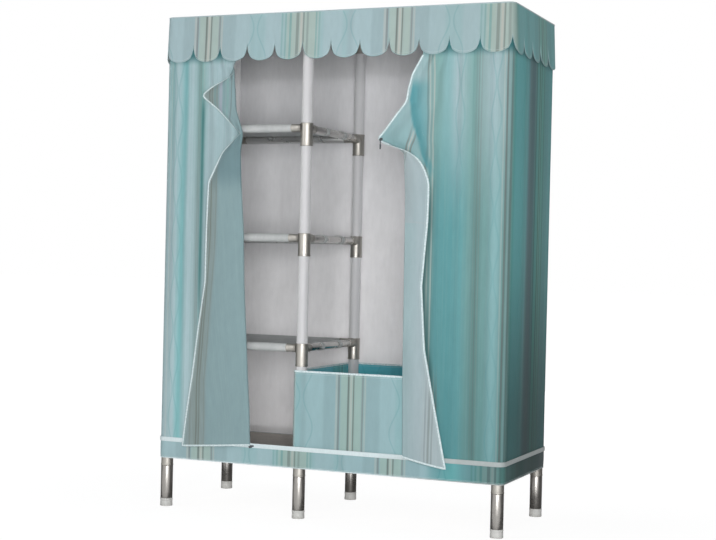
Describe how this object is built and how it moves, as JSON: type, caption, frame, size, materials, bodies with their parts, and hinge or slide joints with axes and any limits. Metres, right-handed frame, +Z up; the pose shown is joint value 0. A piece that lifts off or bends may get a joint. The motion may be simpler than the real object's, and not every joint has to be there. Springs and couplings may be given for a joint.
{
  "type": "portable fabric wardrobe",
  "caption": "Free-standing fabric wardrobe: plugged steel tube frame, fitted cloth cover with scalloped valance, drawn-back front curtains, cloth shelves, hanging space and a cloth bin.",
  "frame": {"origin": "centre of the bounding box, on the floor under the feet", "axes": "+Z up, +X to the right seen from the front, +Y to the back; the open front faces -Y"},
  "size_m": [1.272, 0.527, 1.7],
  "materials": {
    "white_tube": "white coated round tube, satin",
    "steel_tube": "polished steel tube and connectors",
    "foot_plastic": "off-white moulded foot caps",
    "printed_cloth": "pale teal cloth with printed vertical stripes",
    "curtain_reverse": "printed curtain cloth, paler grey-blue on its reverse",
    "grey_lining": "light grey non-woven back panel",
    "shelf_cloth": "white shelf cloth with hems and straps",
    "floor_cloth": "taupe floor cloth",
    "dark_zinc": "dark zip slider and pull"
  },
  "bodies": {
    "frame": {"foot_front_left": "foot_plastic", "leg_front_left": "steel_tube", "pole_front_left": "white_tube", "foot_back_left": "foot_plastic", "leg_back_left": "steel_tube", "pole_back_left": "white_tube", "foot_front_middle": "foot_plastic", "leg_front_middle": "steel_tube", "pole_front_middle": "white_tube", "foot_back_middle": "foot_plastic", "leg_back_middle": "steel_tube", "pole_back_middle": "white_tube", "foot_front_right": "foot_plastic", "leg_front_right": "steel_tube", "pole_front_right": "white_tube", "foot_back_right": "foot_plastic", "leg_back_right": "steel_tube", "pole_back_right": "white_tube", "rung_base_left": "steel_tube", "rung_base_middle": "steel_tube", "rung_base_right": "steel_tube", "rung_shelf_low_left": "steel_tube", "rung_shelf_low_middle": "steel_tube", "rung_shelf_mid_left": "steel_tube", "rung_shelf_mid_middle": "steel_tube", "rung_shelf_high_left": "steel_tube", "rung_shelf_high_middle": "steel_tube", "rung_top_left": "steel_tube", "rung_top_middle": "steel_tube", "rung_top_right": "steel_tube", "rail_base_front_left_bay": "steel_tube", "rail_base_back_left_bay": "steel_tube", "rail_base_front_right_bay": "steel_tube", "rail_base_back_right_bay": "steel_tube", "rail_shelf_low_front": "white_tube", "rail_shelf_low_back": "steel_tube", "rail_shelf_mid_front": "white_tube", "rail_shelf_mid_back": "steel_tube", "rail_shelf_high_front": "white_tube", "rail_shelf_high_back": "steel_tube", "rail_top_front_left_bay": "steel_tube", "rail_top_back_left_bay": "steel_tube", "rail_top_front_right_bay": "steel_tube", "rail_top_back_right_bay": "steel_tube", "hanging_rod": "steel_tube", "shelf_low_cloth": "shelf_cloth", "shelf_mid_cloth": "shelf_cloth", "shelf_high_cloth": "shelf_cloth", "floor_panel": "floor_cloth", "storage_bin": "printed_cloth", "roof_and_valance": "printed_cloth", "side_cover_and_skirt": "printed_cloth", "back_panel": "grey_lining", "left_curtain_pleats": "printed_cloth", "right_curtain_pleats": "printed_cloth"},
    "left_curtain": {"left_curtain": "curtain_reverse"},
    "right_curtain": {"right_curtain": "curtain_reverse", "zip_slider": "dark_zinc"},
    "zip_pull": {"zip_pull": "dark_zinc"}
  },
  "joints": [
    {"name": "left_curtain_slide", "type": "slide", "parent": "frame", "child": "left_curtain", "axis": [1, 0, 0], "range_m": [0, 0.24], "deforming": ["left_curtain_pleats"]},
    {"name": "right_curtain_slide", "type": "slide", "parent": "frame", "child": "right_curtain", "axis": [-1, 0, 0], "range_m": [0, 0.24], "deforming": ["right_curtain_pleats"]},
    {"name": "zip_pull_swing", "type": "hinge", "parent": "right_curtain", "child": "zip_pull", "pos_m": [0.18423, -0.24939, 1.26643], "axis": [-1, 0, 0], "range_deg": [0, 170]}
  ]
}
